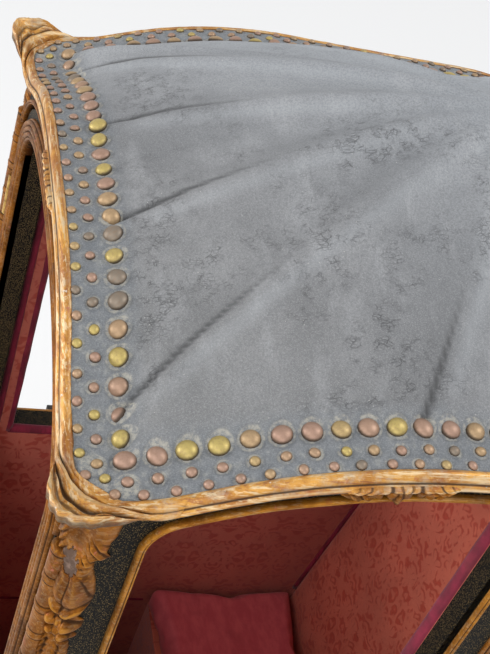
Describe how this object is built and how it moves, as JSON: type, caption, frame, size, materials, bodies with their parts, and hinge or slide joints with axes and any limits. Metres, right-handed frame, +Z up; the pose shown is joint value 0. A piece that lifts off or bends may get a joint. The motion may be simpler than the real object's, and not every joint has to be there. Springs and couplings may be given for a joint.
{
  "type": "sedan chair",
  "caption": "Enclosed sedan chair for one seated passenger, with a leather-covered hinged roof, a hinged front door, side windows and carrying poles.",
  "frame": {"origin": "on the ground under the middle of the chair", "axes": "+Z up, the door faces -Y, +X is the passenger's left side"},
  "size_m": [0.882, 2.9, 1.83],
  "materials": {
    "gilt": "carved limewood, gilded and worn",
    "black_paint": "black lacquer with fine gold speckle",
    "damask": "brick red silk damask",
    "velvet": "crimson velvet",
    "iron": "forged, blackened",
    "leather_roof": "dark blue-grey, dusty and cracked",
    "floor_wood": "worn oak",
    "pole_wood": "dark stained ash",
    "brass": "aged"
  },
  "bodies": {
    "chair": {"base_frame": "gilt", "feet": "gilt", "floor_board": "floor_wood", "front_left_post": "black_paint", "front_right_post": "black_paint", "rear_left_post": "black_paint", "rear_right_post": "black_paint", "side_frame_left": "black_paint", "side_frame_right": "black_paint", "side_panels_left": "black_paint", "side_panels_right": "black_paint", "window_moulding_left": "gilt", "window_moulding_right": "gilt", "panel_mouldings_left": "gilt", "panel_mouldings_right": "gilt", "side_lining_left": "damask", "side_lining_right": "damask", "back_frame": "black_paint", "back_panels": "black_paint", "back_mouldings": "gilt", "front_header": "black_paint", "header_arch": "gilt", "post_hinge_leaves": "brass", "seat_box": "damask", "seat_cushion": "velvet", "back_rest": "damask", "pole_staples_left": "iron", "pole_staples_right": "iron", "pole_left": "pole_wood", "pole_right": "pole_wood", "side_cartouches": "gilt", "front_cartouche": "gilt", "wall_hinge_leaves": "iron"},
    "door": {"door_frame": "black_paint", "door_panel": "black_paint", "door_mouldings": "gilt", "door_lining": "damask", "door_knob": "brass", "door_hinge_leaves": "brass"},
    "roof": {"roof_shell": "leather_roof", "roof_band": "leather_roof", "roof_cornice": "gilt", "roof_corners": "gilt", "roof_hinge_leaves": "iron"}
  },
  "joints": [
    {"name": "door_hinge", "type": "hinge", "parent": "chair", "child": "door", "pos_m": [-0.3415, -0.475, 0.812], "axis": [0, 0, -1], "range_deg": [0, 90]},
    {"name": "roof_hinge", "type": "hinge", "parent": "chair", "child": "roof", "pos_m": [0, 0.4955, 1.575], "axis": [-1, 0, 0], "range_deg": [0, 75]}
  ]
}
